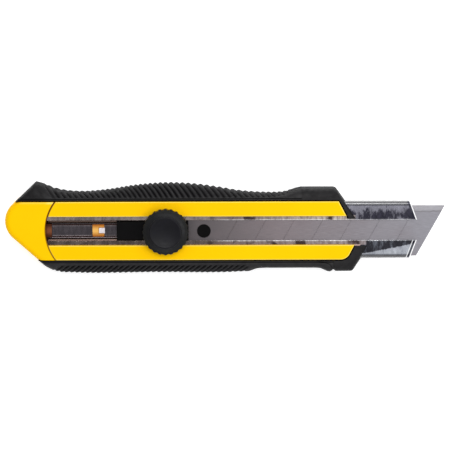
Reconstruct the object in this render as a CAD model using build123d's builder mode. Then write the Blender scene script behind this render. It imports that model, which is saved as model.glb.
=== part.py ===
from build123d import *
import math
import os

# Snap-off knife for 25 mm blades, with a screw wheel that locks the blade slider.
# +X runs along the knife towards the blade tip, +Y towards the cutting edge, +Z out of the front face.
# The origin lies on the flat back face, under the centreline of the blade channel.
# All sizes are in millimetres.

os.makedirs("parts", exist_ok=True)

# ---------------------------------------------------------------- driving dimensions
blade_width = 25.0
blade_thickness = 0.7
blade_length = 126.0
blade_tip_x = 126.6
tip_angle = 61.0  # between the tip's end and the knife's axis
segment_pitch = 14.0
score_count = 7
sheet = 0.8  # steel of the folded blade channel
body_depth = 18.0  # back face to front face of the yellow core
panel_half = 14.45  # half height of the bare yellow panel
window_half = 7.1  # half height of the long window in the front wall
wheel_x = -10.5
wheel_radius = 11.3
scallop_count = 24
screw_radius = 2.0
gap = 0.05  # clearance on each side of a running fit

# ---------------------------------------------------------------- levels above the back face
lip_top = 16.0
lip_under = lip_top - sheet
floor_top = 11.8
floor_under = floor_top - sheet
groove_top = floor_top - 0.9
groove_under = groove_top - sheet
blade_top = lip_under - 0.1
blade_under = blade_top - blade_thickness
wheel_under = body_depth + 0.6
wheel_top = 24.0
grip_front_z = body_depth - 0.5
grip_back_z = 0.5
base_front_z = 16.4
base_back_z = 1.6

# ---------------------------------------------------------------- folded blade channel
channel_half = 14.0
channel_inner_half = channel_half - sheet
channel_rear = -69.0
channel_front = 109.6
lip_reach = 3.3  # how far the slanted lips run on past the channel's walls
slot_half = 5.1  # half width of the slot between the lips
groove_y = -0.7  # the groove lies a little off the channel's centreline
groove_half = 3.6
groove_slope = 1.0  # how far the groove's sides lean outwards
bend_radius = 0.8  # on the sheet's centre-line
catch_rear = -47.0
catch_front = -41.0
catch_half = 3.1
tab_length = 2.7
tab_half = 1.3
catch_gap = 0.1
notch_length = 2.0
pressed_rear = channel_rear + 2.8
pressed_front = catch_rear - 0.8
pressed_half = groove_half - 1.0
pressed_depth = 0.2
stop_x = 78.2
stop_length = 1.8
stop_height = 0.7

# ---------------------------------------------------------------- outline of the handle
seam_edge_x = -64.7  # the end cap's seam where it meets the panel's edges
seam_mid_x = -69.5  # the seam's rearmost point
seam_gap = 0.1
heel_centre = Vector(-78.33, 4.72)
heel_radius = 11.17
heel_top = (heel_centre.X - math.sqrt(heel_radius**2 - (panel_half - heel_centre.Y) ** 2), panel_half)
heel_bulge = (heel_centre.X - heel_radius, heel_centre.Y)
heel_bottom = (-73.6, -panel_half)
rear_peak = (-74.6, 23.5)
rear_valley = (-51.0, 18.7)
palm_hump = (-9.0, 22.95)
front_valley = (37.0, 18.1)
front_rise = (49.5, 18.8)
nose_back_top = (56.2, 20.5)
nose_top = (73.2, 20.5)
nose_upper_tip = (83.4, 6.0)
nose_lower_tip = (89.6, -6.6)
nose_shoulder = (86.1, -13.2)
nose_bottom = (81.6, -20.95)
nose_back_bottom = (73.5, -20.95)
rest_flare = (71.9, -20.95)
rest_front = (66.0, -19.25)
rest_rear = (35.0, -19.25)
belly_front = (30.0, -21.7)
belly_rear = (-60.0, -21.8)
belly_bulge = (-69.0, -19.2)
grip_round = 1.5
nose_round = 1.5
nose_corner_round = 1.6

# ---------------------------------------------------------------- outline of the yellow core
panel_upper_front = (74.3, panel_half)
panel_upper_tip = (78.2, window_half)
panel_lower_tip = (82.2, -window_half)
panel_lower_front = (78.4, -panel_half)
panel_corner_round = 5.0
panel_rim_round = 0.5
base_half = 15.6
base_outline = [(72.0, base_half), (74.6, 14.0), (79.9, 6.9), (85.6, -6.9), (78.2, -base_half)]
upper_rail_end = -80.0
lower_rail_end = -69.5
cavity_half = channel_half + 0.1
cavity_floor = floor_under - 0.05
cavity_roof = lip_top + 0.05
groove_cavity_half = groove_half + groove_slope + 1.0
pocket_half = 12.5
pocket_floor = 2.2
pocket_roof = 8.6
pocket_front = 60.0
far = 200.0  # longer than the knife, for cuts that run right through

# ================================================================ yellow body core
# A panel as deep as the knife stands on a wider base that carries the black grips.
with BuildPart() as core_blank:
    with BuildSketch(Plane.XY):
        with BuildLine():
            ThreePointArc((seam_edge_x, panel_half), (seam_mid_x, 0), (seam_edge_x, -panel_half))
            Polyline((seam_edge_x, -panel_half), panel_lower_front, panel_lower_tip)
            Polyline(panel_lower_tip, panel_upper_tip, panel_upper_front, (seam_edge_x, panel_half))
        make_face()
    extrude(amount=body_depth)
    lower_corner = core_blank.edges().filter_by(Axis.Z).sort_by_distance(Vector(*panel_lower_front))[0]
    fillet(lower_corner, radius=panel_corner_round)
    with BuildSketch(Plane.XY.offset(base_back_z)):
        with BuildLine():
            ThreePointArc((seam_edge_x, panel_half), (seam_mid_x, 0), (seam_edge_x, -panel_half))
            Polyline(
                (seam_edge_x, -panel_half),
                (lower_rail_end, -panel_half),
                (lower_rail_end, -base_half),
                *reversed(base_outline),
                (upper_rail_end, base_half),
                (upper_rail_end, panel_half),
                (seam_edge_x, panel_half),
            )
        make_face()
    extrude(amount=base_front_z - base_back_z)

# The long cavity for the channel, and the window in the front wall that opens it.
with BuildPart() as channel_passage:
    with BuildSketch(Plane.XY.offset(cavity_floor)):
        Rectangle(far, 2 * cavity_half)
    extrude(amount=cavity_roof - cavity_floor)
    with BuildSketch(Plane.XY.offset(groove_under - gap)):
        with Locations((0, groove_y)):
            Rectangle(far, 2 * groove_cavity_half)
    extrude(amount=lip_top - groove_under)
    with BuildSketch(Plane.XY.offset(lip_top)):
        Rectangle(far, 2 * window_half)
    extrude(amount=body_depth)

with BuildPart() as body_core:
    add(core_blank.part)
    add(channel_passage.part, mode=Mode.SUBTRACT)
    # the rim of the bare panel, front and back
    fillet(body_core.edges().group_by(Axis.Z)[-1], radius=panel_rim_round)
    fillet(body_core.edges().group_by(Axis.Z)[0], radius=panel_rim_round)
    # the hollow behind the channel, open at the rear for the end cap's plug
    with BuildSketch(Plane.XY.offset(pocket_floor)):
        with Locations((pocket_front, 0)):
            Rectangle(far, 2 * pocket_half, align=(Align.MAX, Align.CENTER))
    extrude(amount=pocket_roof - pocket_floor, mode=Mode.SUBTRACT)
    # the C-shaped catch that stands up through the channel's opening
    with BuildSketch(Plane.XY.offset(pocket_roof)):
        with Locations((catch_rear + catch_gap, groove_y)):
            catch_length = catch_front - catch_rear - 2 * catch_gap
            Rectangle(catch_length, 2 * (catch_half - catch_gap), align=(Align.MIN, Align.CENTER))
        with Locations((catch_front - tab_length - 2 * catch_gap, groove_y)):
            mouth_length = tab_length + 2 * catch_gap
            mouth_width = 2 * (tab_half + 2 * catch_gap)
            Rectangle(mouth_length, mouth_width, align=(Align.MIN, Align.CENTER), mode=Mode.SUBTRACT)
    extrude(amount=groove_top - pocket_roof - 0.02)
body_core.part.label = "body_core"
export_step(body_core.part, "parts/body_core.step")

# ================================================================ black handle pieces
# The outer form that both soft grips are cut from.
with BuildPart() as grip_blank:
    with BuildSketch(Plane.XY.offset(grip_back_z)):
        with BuildLine():
            Line(heel_top, rear_peak)
            Spline(rear_peak, rear_valley, palm_hump, front_valley, tangents=[(1, -0.5), (1, 0)])
            ThreePointArc(front_valley, front_rise, nose_back_top)
            Polyline(nose_back_top, nose_top, nose_lower_tip, nose_back_bottom, rest_flare)
            Polyline(rest_flare, rest_front, rest_rear, belly_front, belly_rear)
            ThreePointArc(belly_rear, belly_bulge, heel_bottom)
            Line(heel_bottom, heel_top)
        make_face()
    extrude(amount=grip_front_z - grip_back_z)
    rims = grip_blank.edges().group_by(Axis.Z)
    fillet(rims[-1] + rims[0], radius=grip_round)

with BuildPart() as upper_grip:
    add(grip_blank.part)
    with BuildSketch(Plane.XY):
        with Locations((nose_back_top[0], panel_half)):
            Rectangle(far, far, align=(Align.MAX, Align.MIN))
    extrude(amount=body_depth, mode=Mode.INTERSECT)
    add(core_blank.part, mode=Mode.SUBTRACT)
upper_grip.part.label = "upper_grip"
export_step(upper_grip.part, "parts/upper_grip.step")

with BuildPart() as lower_grip:
    add(grip_blank.part)
    with BuildSketch(Plane.XY):
        with Locations((rest_flare[0], -panel_half)):
            Rectangle(far, far, align=(Align.MAX, Align.MAX))
    extrude(amount=body_depth, mode=Mode.INTERSECT)
    add(core_blank.part, mode=Mode.SUBTRACT)
lower_grip.part.label = "lower_grip"
export_step(lower_grip.part, "parts/lower_grip.step")

# The nose guard wraps the front of the core and lets the channel out between its two jaws.
with BuildPart() as nose_guard:
    with BuildSketch(Plane.XY.offset(grip_back_z)):
        with BuildLine():
            Polyline(nose_back_top, nose_top, nose_upper_tip, nose_lower_tip, nose_shoulder, nose_bottom)
            Polyline(nose_bottom, (rest_flare[0] + 0.1, nose_bottom[1]), (rest_flare[0] + 0.1, 0))
            Polyline((rest_flare[0] + 0.1, 0), (nose_back_top[0] + 0.1, 0), nose_back_top)
        make_face()
    extrude(amount=grip_front_z - grip_back_z)
    upright = nose_guard.edges().filter_by(Axis.Z)
    fillet(upright.sort_by_distance(Vector(*nose_top))[0], radius=nose_corner_round)
    fillet(upright.sort_by_distance(Vector(*nose_bottom))[0], radius=nose_corner_round)
    rims = nose_guard.edges().group_by(Axis.Z)
    outer_rims = (rims[-1] + rims[0]).filter_by(
        lambda rim: rim.center().X > nose_back_bottom[0] or rim.center().Y > rear_valley[1]
    )
    fillet(outer_rims, radius=nose_round)
    add(core_blank.part, mode=Mode.SUBTRACT)
    add(channel_passage.part, mode=Mode.SUBTRACT)
nose_guard.part.label = "nose_guard"
export_step(nose_guard.part, "parts/nose_guard.step")

# ================================================================ folded steel blade channel
with BuildPart() as blade_channel:
    lip_mid = lip_top - sheet / 2
    floor_mid = floor_top - sheet / 2
    groove_mid = groove_top - sheet / 2
    wall_mid = channel_half - sheet / 2
    with BuildSketch(Plane.YZ.offset(channel_rear)):
        with BuildLine():
            FilletPolyline(
                (slot_half, lip_mid),
                (wall_mid, lip_mid),
                (wall_mid, floor_mid),
                (groove_y + groove_half + groove_slope, floor_mid),
                (groove_y + groove_half, groove_mid),
                (groove_y - groove_half, groove_mid),
                (groove_y - groove_half - groove_slope, floor_mid),
                (-wall_mid, floor_mid),
                (-wall_mid, lip_mid),
                (-slot_half, lip_mid),
                radius=bend_radius,
            )
        trace(line_width=sheet)
    extrude(amount=channel_front + lip_reach - channel_rear)
    # the front end: the lips slant forwards to the slot, the floor stops at the walls
    with BuildSketch(Plane.XY):
        for side in (1, -1):
            with BuildLine():
                Polyline(
                    (channel_front, side * channel_half),
                    (channel_front + lip_reach, side * slot_half),
                    (channel_front + far, side * slot_half),
                    (channel_front + far, side * far),
                    (channel_front, side * far),
                    close=True,
                )
            make_face()
    extrude(amount=body_depth, mode=Mode.SUBTRACT)
    with BuildSketch(Plane.XY):
        with Locations((channel_front, 0)):
            Rectangle(far, far, align=(Align.MIN, Align.CENTER))
    extrude(amount=blade_under, mode=Mode.SUBTRACT)
    # the opening for the catch, with its lanced tab, and the notch for the end cap's lug
    with BuildSketch(Plane.XY):
        with Locations((catch_rear, groove_y)):
            Rectangle(catch_front - catch_rear, 2 * catch_half, align=(Align.MIN, Align.CENTER))
        with Locations((catch_front - tab_length, groove_y)):
            Rectangle(tab_length, 2 * tab_half, align=(Align.MIN, Align.CENTER), mode=Mode.SUBTRACT)
        with Locations((channel_rear, groove_y)):
            Rectangle(notch_length, 2 * (groove_half - 0.2), align=(Align.MIN, Align.CENTER))
    extrude(amount=floor_top, mode=Mode.SUBTRACT)
    # a shallow pressed panel between the notch and the catch
    with BuildSketch(Plane.XY.offset(groove_top - pressed_depth)):
        with Locations((pressed_rear, groove_y)):
            Rectangle(pressed_front - pressed_rear, 2 * pressed_half, align=(Align.MIN, Align.CENTER))
    extrude(amount=sheet, mode=Mode.SUBTRACT)
    # the bump that stops the slider at the front
    with BuildSketch(Plane.XY.offset(groove_top - sheet / 2)):
        with Locations((stop_x, groove_y)):
            Rectangle(stop_length, groove_half, align=(Align.MIN, Align.CENTER))
    extrude(amount=sheet / 2 + stop_height)
blade_channel.part.label = "blade_channel"
export_step(blade_channel.part, "parts/blade_channel.step")

# ================================================================ yellow end cap
cap_half = panel_half - gap
# where the straight underside of the heel runs tangent into its round end
to_bottom = Vector(*heel_bottom) - heel_centre
tangent_turn = math.atan2(to_bottom.Y, to_bottom.X) - math.acos(heel_radius / to_bottom.length)
heel_low = heel_centre + Vector(math.cos(tangent_turn), math.sin(tangent_turn)) * heel_radius
heel_run_out = heel_low + (Vector(*heel_bottom) - heel_low) * 1.5
heel_crown = heel_centre + Vector(0, heel_radius)
heel_round = 3.0
cap_wall = 2.2
plug_front = -52.0
plug_gap = 0.2
plug_wall = 1.2
lug_front = -67.05
lug_half = groove_half - 0.3
past_seam = seam_edge_x + 2  # cuts and blanks run on to here
with BuildPart() as end_cap:
    with BuildSketch(Plane.XY) as cap_outline:
        with BuildLine():
            ThreePointArc(heel_crown, heel_bulge, heel_low)
            Polyline(heel_low, heel_run_out, (past_seam, heel_run_out.Y))
            Polyline((past_seam, heel_run_out.Y), (past_seam, heel_crown.Y), heel_crown)
        make_face()
    extrude(amount=body_depth)
    rims = end_cap.edges().group_by(Axis.Z)
    fillet((rims[-1] + rims[0]).filter_by(lambda rim: rim.center().X < heel_bottom[0]), radius=heel_round)
    with BuildSketch(Plane.XY):
        Rectangle(far, 2 * cap_half)
    extrude(amount=body_depth, mode=Mode.INTERSECT)
    # the concave front that meets the core
    with BuildSketch(Plane.XY):
        with BuildLine():
            ThreePointArc(
                (seam_edge_x - seam_gap, panel_half),
                (seam_mid_x - seam_gap, 0),
                (seam_edge_x - seam_gap, -panel_half),
            )
            Polyline(
                (seam_edge_x - seam_gap, -panel_half),
                (past_seam, -panel_half),
                (past_seam, panel_half),
                (seam_edge_x - seam_gap, panel_half),
            )
        make_face()
    extrude(amount=body_depth, mode=Mode.SUBTRACT)
    # the hollow inside the heel
    with BuildSketch(Plane.XY.offset(cap_wall)):
        add(cap_outline.sketch)
        Rectangle(far, 2 * cap_half, mode=Mode.INTERSECT)
        offset(amount=-cap_wall, mode=Mode.REPLACE)
    extrude(amount=pocket_roof - 1.5 * cap_wall, mode=Mode.SUBTRACT)
    # room for the channel's rear end, which reaches behind the curved seam
    with BuildSketch(Plane.XY.offset(groove_under - gap)):
        with Locations((seam_mid_x - seam_gap, 0)):
            Rectangle(far, far, align=(Align.MIN, Align.CENTER))
    extrude(amount=cavity_roof - groove_under + gap, mode=Mode.SUBTRACT)
    # the hollow plug that slides into the core
    with BuildSketch(Plane.XY.offset(pocket_floor + plug_gap)):
        with Locations((seam_mid_x - 2.0, 0)):
            plug_length = plug_front - seam_mid_x + 2.0
            Rectangle(plug_length, 2 * (pocket_half - plug_gap), align=(Align.MIN, Align.CENTER))
    extrude(amount=pocket_roof - pocket_floor - 2 * plug_gap)
    with BuildSketch(Plane.XY.offset(pocket_floor + plug_gap + plug_wall)):
        with Locations((seam_mid_x - 2.5, 0)):
            Rectangle(far, 2 * (pocket_half - plug_gap - plug_wall), align=(Align.MIN, Align.CENTER))
    extrude(amount=pocket_roof - pocket_floor - 2 * (plug_gap + plug_wall), mode=Mode.SUBTRACT)
    # the lug that shows in the channel's rear notch
    with BuildSketch(Plane.XY.offset(groove_under + 0.1)):
        with Locations((seam_mid_x - 1.0, groove_y)):
            Rectangle(lug_front - seam_mid_x + 1.0, 2 * lug_half, align=(Align.MIN, Align.CENTER))
    extrude(amount=groove_top - groove_under - 0.15)
end_cap.part.label = "end_cap"
export_step(end_cap.part, "parts/end_cap.step")

# ================================================================ blade
blade_low = -12.95
blade_high = blade_low + blade_width
blade_rear = blade_tip_x - blade_length
bevel_width = 2.3
edge_thickness = 0.06
hole_x = 8.2
hole_y = (blade_low + blade_high) / 2
hole_radius = 3.35
tip_run = blade_width / math.tan(math.radians(tip_angle))
with BuildPart() as blade:
    blade_mid = (blade_top + blade_under) / 2
    with BuildSketch(Plane.YZ.offset(blade_rear)):
        with BuildLine():
            Polyline(
                (blade_low, blade_under),
                (blade_high - bevel_width, blade_under),
                (blade_high, blade_mid - edge_thickness / 2),
                (blade_high, blade_mid + edge_thickness / 2),
                (blade_high - bevel_width, blade_top),
                (blade_low, blade_top),
                close=True,
            )
        make_face()
    extrude(amount=blade_length)
    # the slanted tip
    with BuildSketch(Plane.XY):
        with BuildLine():
            Polyline(
                (blade_tip_x, blade_high),
                (blade_tip_x - tip_run, blade_low),
                (blade_tip_x, blade_low),
                close=True,
            )
        make_face()
    extrude(amount=body_depth, mode=Mode.SUBTRACT)
    with Locations(Plane.XY.offset(blade_top)):
        with Locations((hole_x, hole_y)):
            Hole(radius=hole_radius)
    # the score lines that the segments snap off along
    with BuildSketch(Plane.XY.offset(blade_top - 0.15)):
        for number in range(1, score_count + 1):
            score_x = blade_tip_x - number * segment_pitch - tip_run / 2
            with Locations(Location((score_x, hole_y, 0), (0, 0, tip_angle))):
                Rectangle(blade_width * 1.3, 0.35)
    extrude(amount=1.0, mode=Mode.SUBTRACT)
blade.part.label = "blade"
export_step(blade.part, "parts/blade.step")

# ================================================================ blade slider
slider_half = channel_inner_half - 0.15
slider_rear = -34.6
slider_front = 0.4
slider_under = floor_top + 0.15
slider_top = blade_top
block_front = -17.3
block_half = 4.6
block_top = 17.2
boss_front = -1.0
plate_rear = -18.0
plate_front = -3.0
plate_half = 8.0
plate_top = slider_under + 1.0
tongue_front = 15.0
tongue_half = 9.0
stud_gap = 0.15
with BuildPart() as slider:
    with BuildSketch(Plane.XY.offset(slider_under)):
        with Locations((slider_rear, 0)):
            Rectangle(slider_front - slider_rear, 2 * slider_half, align=(Align.MIN, Align.CENTER))
    extrude(amount=slider_top - slider_under)
    chamfer(slider.edges().filter_by(Axis.X), length=0.5)
    # the tongue under the blade's rear end, with the stud that fills the blade's hole
    with BuildSketch(Plane.XY.offset(slider_under)):
        with Locations((slider_front - 1.0, 0)):
            Rectangle(tongue_front - slider_front + 1.0, 2 * tongue_half, align=(Align.MIN, Align.CENTER))
    extrude(amount=blade_under - 0.03 - slider_under)
    with BuildSketch(Plane.XY.offset(blade_under - 1.0)):
        with Locations((hole_x, hole_y)):
            Circle(hole_radius - stud_gap)
    extrude(amount=blade_top + 0.4 - blade_under + 1.0)
    # the block behind the wheel and the low boss under it
    with BuildSketch(Plane.XY.offset(slider_top - 0.5)):
        with Locations((slider_rear, 0)):
            Rectangle(block_front - slider_rear, 2 * block_half, align=(Align.MIN, Align.CENTER))
    extrude(amount=block_top - slider_top + 0.5)
    chamfer(slider.edges().group_by(Axis.Z)[-1], length=0.4)
    with BuildSketch(Plane.XY.offset(slider_top - 0.5)):
        with Locations((block_front, 0)):
            Rectangle(boss_front - block_front, 2 * block_half, align=(Align.MIN, Align.CENTER))
    extrude(amount=lip_top - 0.1 - slider_top + 0.5)
    # the pocket for the lock plate and the hole for the clamp screw
    with BuildSketch(Plane.XY.offset(slider_under)):
        with Locations((plate_rear - gap, 0)):
            pocket_length = plate_front - plate_rear + 2 * gap
            Rectangle(pocket_length, 2 * (plate_half + gap), align=(Align.MIN, Align.CENTER))
    extrude(amount=plate_top - slider_under + gap, mode=Mode.SUBTRACT)
    with Locations(Plane.XY.offset(block_top)):
        with Locations((wheel_x, 0)):
            Hole(radius=screw_radius + 0.1)
slider.part.label = "slider"
export_step(slider.part, "parts/slider.step")

# ================================================================ lock plate and clamp screw
neck_half = 2.1
head_half = 2.6
head_under = groove_top + gap
shank_top = 23.0
clip_under = 22.05
clip_thickness = 0.4
clip_groove_radius = 1.5
with BuildPart() as lock_plate:
    with BuildSketch(Plane.XY.offset(slider_under)):
        with Locations((plate_rear, 0)):
            Rectangle(plate_front - plate_rear, 2 * plate_half, align=(Align.MIN, Align.CENTER))
        with Locations((wheel_x, 0)):
            Rectangle(2 * neck_half + 2 * gap, 2 * neck_half + 2 * gap, mode=Mode.SUBTRACT)
    extrude(amount=plate_top - slider_under)
    chamfer(lock_plate.edges().filter_by(Axis.Z).group_by(Axis.X)[0], length=1.0)
    chamfer(lock_plate.edges().filter_by(Axis.Z).group_by(Axis.X)[-1], length=1.0)
lock_plate.part.label = "lock_plate"
export_step(lock_plate.part, "parts/lock_plate.step")

with BuildPart() as clamp_screw:
    with BuildSketch(Plane.XY.offset(head_under)):
        with Locations((wheel_x, 0)):
            Rectangle(2 * head_half, 2 * head_half)
    extrude(amount=slider_under - 0.02 - head_under)
    with BuildSketch(Plane.XY.offset(head_under)):
        with Locations((wheel_x, 0)):
            Rectangle(2 * neck_half, 2 * neck_half)
    extrude(amount=plate_top - gap - head_under)
    with BuildSketch(Plane.XY.offset(head_under)):
        with Locations((wheel_x, 0)):
            Circle(screw_radius)
    extrude(amount=shank_top - head_under)
    chamfer(clamp_screw.edges().group_by(Axis.Z)[-1], length=0.3)
    with BuildSketch(Plane.XY.offset(clip_under)):
        with Locations((wheel_x, 0)):
            Circle(screw_radius + 1)
            Circle(clip_groove_radius, mode=Mode.SUBTRACT)
    extrude(amount=clip_thickness + 0.04, mode=Mode.SUBTRACT)
clamp_screw.part.label = "clamp_screw"
export_step(clamp_screw.part, "parts/clamp_screw.step")

# ================================================================ washers and retaining ring
washer_bore_radius = screw_radius + 0.2
pressure_washer_radius = 6.3
pressure_washer_under = lip_top + 0.02
pressure_washer_thickness = 0.58
wave_washer_radius = 5.25
wave_washer_bore_radius = screw_radius + 0.8
wave_washer_under = lip_top + 0.62
wave_washer_thickness = 0.34
thrust_washer_radius = 5.5
thrust_washer_under = lip_top + 1.0
thrust_washer_thickness = 0.5
retaining_ring_radius = 3.4
retaining_ring_under = clip_under + 0.02
with BuildPart() as pressure_washer:
    with BuildSketch(Plane.XY.offset(pressure_washer_under)):
        with Locations((wheel_x, 0)):
            Circle(pressure_washer_radius)
            Circle(washer_bore_radius, mode=Mode.SUBTRACT)
    extrude(amount=pressure_washer_thickness)
    chamfer(pressure_washer.edges().group_by(Axis.Z)[-1].sort_by(SortBy.RADIUS)[-1], length=0.15)
pressure_washer.part.label = "pressure_washer"
export_step(pressure_washer.part, "parts/pressure_washer.step")

with BuildPart() as wave_washer:
    with BuildSketch(Plane.XY.offset(wave_washer_under)):
        with Locations((wheel_x, 0)):
            Circle(wave_washer_radius)
            Circle(wave_washer_bore_radius, mode=Mode.SUBTRACT)
    extrude(amount=wave_washer_thickness)
wave_washer.part.label = "wave_washer"
export_step(wave_washer.part, "parts/wave_washer.step")

with BuildPart() as thrust_washer:
    with BuildSketch(Plane.XY.offset(thrust_washer_under)):
        with Locations((wheel_x, 0)):
            Circle(thrust_washer_radius)
            Circle(washer_bore_radius, mode=Mode.SUBTRACT)
    extrude(amount=thrust_washer_thickness)
thrust_washer.part.label = "thrust_washer"
export_step(thrust_washer.part, "parts/thrust_washer.step")

with BuildPart() as retaining_ring:
    with BuildSketch(Plane.XY.offset(retaining_ring_under)):
        with Locations((wheel_x, 0)):
            Circle(retaining_ring_radius)
            Circle(clip_groove_radius + 0.02, mode=Mode.SUBTRACT)
            mouth_half = clip_groove_radius - 0.25
            Rectangle(far, 2 * mouth_half, align=(Align.MIN, Align.CENTER), mode=Mode.SUBTRACT)
    extrude(amount=clip_thickness)
retaining_ring.part.label = "retaining_ring"
export_step(retaining_ring.part, "parts/retaining_ring.step")

# ================================================================ screw wheel
hub_radius = 9.6
hub_lower_radius = 6.2
hub_lower_under = lip_top + 1.55
insert_radius = 3.6
insert_under = hub_lower_under + 0.35
insert_top = 21.35
cap_radius = 8.0
cap_under = 23.4
cap_top = 24.6
dish = 0.65
dish_radius = 7.2
cap_seat_radius = 5.0
scallop_radius = 1.35
scallop_circle_radius = wheel_radius + 0.85
rim_slope = 0.5  # how far the wheel's outer face falls for each mm outwards
rim_flat = 0.2  # flat land round the cap
ring_edge = 0.4  # bevel on the grip ring's upper edge


def face_height(radius):
    """Height of the wheel's sloping outer face at a radius."""
    return wheel_top - rim_slope * (radius - cap_radius - rim_flat)


with BuildPart() as knob_hub:
    with BuildSketch(Plane.XZ.shift_origin((wheel_x, 0, 0))):
        with BuildLine():
            Polyline(
                (screw_radius + 0.2, hub_lower_under),
                (hub_lower_radius, hub_lower_under),
                (hub_lower_radius, wheel_under),
                (hub_radius, wheel_under),
                (hub_radius, face_height(hub_radius)),
                (cap_radius + rim_flat, wheel_top),
                (cap_radius, wheel_top),
                (cap_radius, cap_under),
                (cap_seat_radius, cap_under),
                (cap_seat_radius, insert_top),
                (insert_radius, insert_top),
                (insert_radius, insert_under),
                (screw_radius + 0.2, insert_under),
                close=True,
            )
        make_face()
    revolve(axis=Axis((wheel_x, 0, 0), (0, 0, 1)))
knob_hub.part.label = "knob_hub"
export_step(knob_hub.part, "parts/knob_hub.step")

with BuildPart() as knob_grip_ring:
    with BuildSketch(Plane.XZ.shift_origin((wheel_x, 0, 0))):
        with BuildLine():
            Polyline(
                (hub_radius, wheel_under),
                (wheel_radius - 0.5, wheel_under),
                (wheel_radius, wheel_under + 0.5),
                (wheel_radius, face_height(wheel_radius) - ring_edge),
                (wheel_radius - ring_edge, face_height(wheel_radius - ring_edge)),
                (hub_radius, face_height(hub_radius)),
                close=True,
            )
        make_face()
    revolve(axis=Axis((wheel_x, 0, 0), (0, 0, 1)))
    with BuildSketch(Plane.XY.offset(wheel_under)):
        with Locations((wheel_x, 0)):
            with PolarLocations(scallop_circle_radius, scallop_count, start_angle=180 / scallop_count):
                Circle(scallop_radius)
    extrude(amount=wheel_top, mode=Mode.SUBTRACT)
knob_grip_ring.part.label = "knob_grip_ring"
export_step(knob_grip_ring.part, "parts/knob_grip_ring.step")

with BuildPart() as threaded_insert:
    with BuildSketch(Plane.XY.offset(insert_under)):
        with Locations((wheel_x, 0)):
            Circle(insert_radius)
            Circle(screw_radius + gap, mode=Mode.SUBTRACT)
    extrude(amount=insert_top - insert_under)
    with BuildSketch(Plane.XY.offset((insert_under + insert_top) / 2 - 0.4)):
        with Locations((wheel_x, 0)):
            Circle(insert_radius + 1)
            Circle(insert_radius - 0.4, mode=Mode.SUBTRACT)
    extrude(amount=0.8, mode=Mode.SUBTRACT)
threaded_insert.part.label = "threaded_insert"
export_step(threaded_insert.part, "parts/threaded_insert.step")

with BuildPart() as knob_cap:
    with BuildSketch(Plane.XY.offset(cap_under)):
        with Locations((wheel_x, 0)):
            Circle(cap_radius)
    extrude(amount=cap_top - cap_under)
    fillet(knob_cap.edges().group_by(Axis.Z)[-1], radius=0.5)
    # the shallow dish in the top
    dish_sphere = (dish_radius**2 + dish**2) / (2 * dish)
    with Locations((wheel_x, 0, cap_top - dish + dish_sphere)):
        Sphere(dish_sphere, mode=Mode.SUBTRACT)
knob_cap.part.label = "knob_cap"
export_step(knob_cap.part, "parts/knob_cap.step")
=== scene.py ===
"""Looks for a snap-off knife with a wheel lock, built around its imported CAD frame.

Blender objects are in metres in the frame's own axes: +X towards the blade tip, +Y towards the cutting edge,
+Z out of the front face. The two ribbed grips and the nose guard are rebuilt here. Every other CAD node keeps
its shape and gets a finish. Lengths are in millimetres and are turned into metres by MM, apart from those of
the floor, the lights and the camera, which are in metres.
"""

import math

import bpy
import numpy as np
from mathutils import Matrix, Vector


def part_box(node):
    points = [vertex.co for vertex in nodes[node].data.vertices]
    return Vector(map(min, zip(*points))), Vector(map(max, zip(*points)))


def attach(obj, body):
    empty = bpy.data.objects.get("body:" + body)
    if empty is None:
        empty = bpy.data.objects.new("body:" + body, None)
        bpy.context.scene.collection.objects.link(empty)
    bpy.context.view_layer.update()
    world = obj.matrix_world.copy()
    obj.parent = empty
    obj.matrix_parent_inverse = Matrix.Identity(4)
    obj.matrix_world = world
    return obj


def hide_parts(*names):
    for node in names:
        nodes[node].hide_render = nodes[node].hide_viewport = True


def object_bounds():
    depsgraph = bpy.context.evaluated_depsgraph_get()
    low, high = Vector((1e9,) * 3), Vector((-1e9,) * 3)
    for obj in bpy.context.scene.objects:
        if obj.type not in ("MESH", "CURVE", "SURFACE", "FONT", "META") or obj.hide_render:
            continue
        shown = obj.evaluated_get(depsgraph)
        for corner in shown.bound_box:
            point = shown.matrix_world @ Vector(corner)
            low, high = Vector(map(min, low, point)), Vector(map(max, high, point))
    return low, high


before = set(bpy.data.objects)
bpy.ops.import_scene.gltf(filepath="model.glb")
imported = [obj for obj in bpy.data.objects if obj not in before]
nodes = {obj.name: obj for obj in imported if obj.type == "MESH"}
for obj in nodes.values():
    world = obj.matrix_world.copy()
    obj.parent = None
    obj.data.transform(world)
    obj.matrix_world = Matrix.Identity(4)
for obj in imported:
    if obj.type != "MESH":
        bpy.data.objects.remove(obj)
cad_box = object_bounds()
MM = 0.001


# ---------------------------------------------------------------- grip geometry
def low(node):
    """Lowest corner of a CAD node, in millimetres."""
    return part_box(node)[0] / MM


def high(node):
    """Highest corner of a CAD node, in millimetres."""
    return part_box(node)[1] / MM


GRIP_MID_Z = (low("upper_grip").z + high("upper_grip").z) / 2
GRIP_HALF_DEPTH = (high("upper_grip").z - low("upper_grip").z) / 2
INNER_Y = low("upper_grip").y  # where the grips meet the yellow panel
NOSE_TOP_Y = 20.35
NOSE_SQUARENESS = 4.0  # a section's squareness is 2 for an ellipse and grows towards a box
LEAN = 0.4  # how far a rib leans back as it goes round the side, for each mm of depth

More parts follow.
